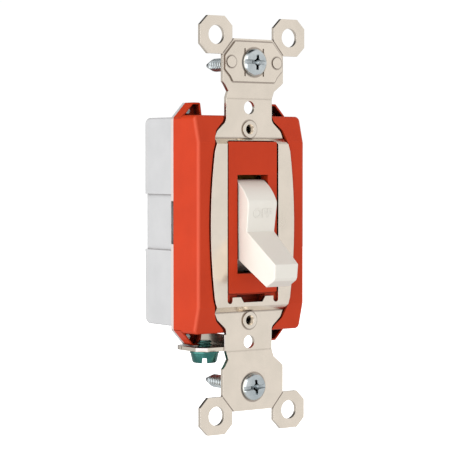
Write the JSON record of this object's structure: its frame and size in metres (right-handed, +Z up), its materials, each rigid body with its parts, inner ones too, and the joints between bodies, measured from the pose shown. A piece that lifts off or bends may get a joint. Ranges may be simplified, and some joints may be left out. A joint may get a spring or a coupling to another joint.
{
  "type": "toggle wall switch",
  "caption": "Toggle wall switch on a metal mounting strap, with side screw terminals, plaster ears, box screws and a green ground screw.",
  "frame": {"origin": "on the wall plane, the back of the four plaster ears, midway between the two box screws", "axes": "+Z up along the strap, +Y into the wall box, so the toggle faces -Y; +X to the right seen from the front"},
  "size_m": [0.0352, 0.0398, 0.1064],
  "materials": {
    "strap_steel": "plated, satin",
    "zinc_screw": "bright zinc",
    "fibre": "fibre sheet",
    "green_screw": "green zinc",
    "red_cover": "moulded, satin",
    "grey_base": "moulded, matt",
    "stop_rubber": "matt",
    "ivory_toggle": "moulded, semi-gloss",
    "nylon": "natural",
    "spring_steel": "drawn wire",
    "terminal_brass": "stamped",
    "screw_brass": "plated",
    "contact_silver": "silver alloy"
  },
  "bodies": {
    "housing": {"strap": "strap_steel", "grounding_clip": "strap_steel", "box_screw_washers": "fibre", "strap_eyelets": "strap_steel", "housing_rivets": "zinc_screw", "cover": "red_cover", "base": "grey_base", "rubber_stops": "stop_rubber", "fixed_contact": "contact_silver", "line_terminal": "terminal_brass", "load_terminal": "terminal_brass"},
    "toggle": {"toggle": "ivory_toggle", "plunger_spring": "spring_steel"},
    "plunger": {"plunger": "nylon"},
    "rocker": {"contact_arm": "terminal_brass", "rocker_saddle": "nylon", "moving_contact": "contact_silver"},
    "line_clamp": {"line_clamp_plate": "terminal_brass"},
    "load_clamp": {"load_clamp_plate": "terminal_brass"},
    "line_screw": {"line_terminal_screw": "screw_brass"},
    "load_screw": {"load_terminal_screw": "screw_brass"},
    "top_box_screw": {"box_screw_top": "zinc_screw"},
    "bottom_box_screw": {"box_screw_bottom": "zinc_screw"},
    "ground_screw": {"ground_screw": "green_screw"}
  },
  "joints": [
    {"name": "toggle_pivot", "type": "hinge", "parent": "housing", "child": "toggle", "pos_m": [0, 0.0061, 0.00025], "axis": [-1, 0, 0], "range_deg": [0, 66.4]},
    {"name": "rocker_pivot", "type": "hinge", "parent": "housing", "child": "rocker", "pos_m": [0, 0.0186, 0.00025], "axis": [1, 0, 0], "range_deg": [0, 16]},
    {"name": "plunger_slide", "type": "slide", "parent": "toggle", "child": "plunger", "axis": [0, 0.8443, 0.5358], "range_m": [-0.001, 0], "stiffness_N_per_m": 200, "springref_m": 0.001, "deforming": ["plunger_spring"]},
    {"name": "line_clamp_slide", "type": "slide", "parent": "housing", "child": "line_clamp", "axis": [-1, 0, 0], "range_m": [0, 0.0023]},
    {"name": "load_clamp_slide", "type": "slide", "parent": "housing", "child": "load_clamp", "axis": [-1, 0, 0], "range_m": [0, 0.0023]},
    {"name": "line_screw_turn", "type": "hinge", "parent": "line_clamp", "child": "line_screw", "pos_m": [0.0162, 0.0173, 0.01525], "axis": [-1, 0, 0], "range_deg": [0, 1042.8]},
    {"name": "load_screw_turn", "type": "hinge", "parent": "load_clamp", "child": "load_screw", "pos_m": [0.0162, 0.0173, -0.01475], "axis": [-1, 0, 0], "range_deg": [0, 1042.8]},
    {"name": "top_screw_slide", "type": "slide", "parent": "housing", "child": "top_box_screw", "axis": [0, -1, 0], "range_m": [0, 0.006]},
    {"name": "bottom_screw_slide", "type": "slide", "parent": "housing", "child": "bottom_box_screw", "axis": [0, -1, 0], "range_m": [0, 0.006]},
    {"name": "ground_screw_slide", "type": "slide", "parent": "housing", "child": "ground_screw", "axis": [0, 0, -1], "range_m": [0, 0.003]}
  ],
  "couplings": [
    {"joint": "rocker_pivot", "follows": "toggle_pivot", "ratio": 0.24096},
    {"joint": "line_screw_turn", "follows": "line_clamp_slide", "rad_per_m": 7913.3},
    {"joint": "load_screw_turn", "follows": "load_clamp_slide", "rad_per_m": 7913.3}
  ]
}
